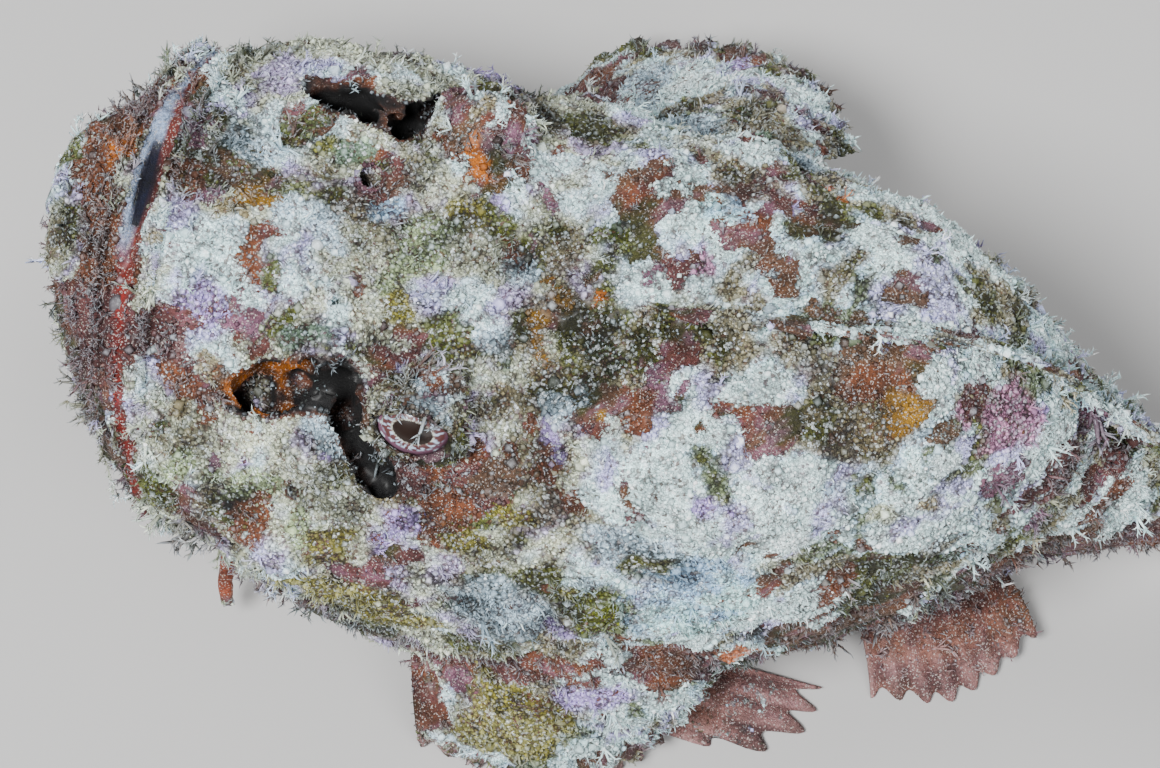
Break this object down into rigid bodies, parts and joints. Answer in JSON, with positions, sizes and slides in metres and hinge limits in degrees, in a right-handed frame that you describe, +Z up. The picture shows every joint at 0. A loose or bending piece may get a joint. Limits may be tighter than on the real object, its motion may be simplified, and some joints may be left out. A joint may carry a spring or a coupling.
{
  "type": "scorpionfish model",
  "caption": "Still life-size scorpionfish resting on the bottom: humped back, upturned mouth, raised eyes, spread pectoral fins and a skin of crusts and flaps.",
  "frame": {"origin": "on the floor, under the centre of the whole fish's box", "axes": "head towards -X, tail towards +X, the fish's left side towards -Y, up is +Z"},
  "size_m": [0.258, 0.137, 0.1073],
  "materials": {
    "skin": "rough skin with chalky white, lilac and olive crusts",
    "rust_skin": "rust-red skin with pale specks, slightly moist",
    "fin": "crusted fin skin over raised rays",
    "eye": "wet, dark brown pupil with a flecked ring"
  },
  "bodies": {
    "root": {"head": "skin", "lower_jaw": "rust_skin", "upper_jaw_left": "rust_skin", "upper_jaw_right": "rust_skin", "gill_cover_left": "skin", "gill_cover_right": "skin", "eye_left": "eye", "eye_right": "eye", "torso": "skin", "tail": "skin", "tail_root": "skin", "spiny_dorsal_fin": "fin", "soft_dorsal_fin": "fin", "anal_fin": "rust_skin", "caudal_fin": "fin", "pectoral_fin_left": "fin", "pectoral_fin_right": "fin", "pelvic_fin_left": "rust_skin", "pelvic_fin_right": "rust_skin"}
  },
  "joints": []
}
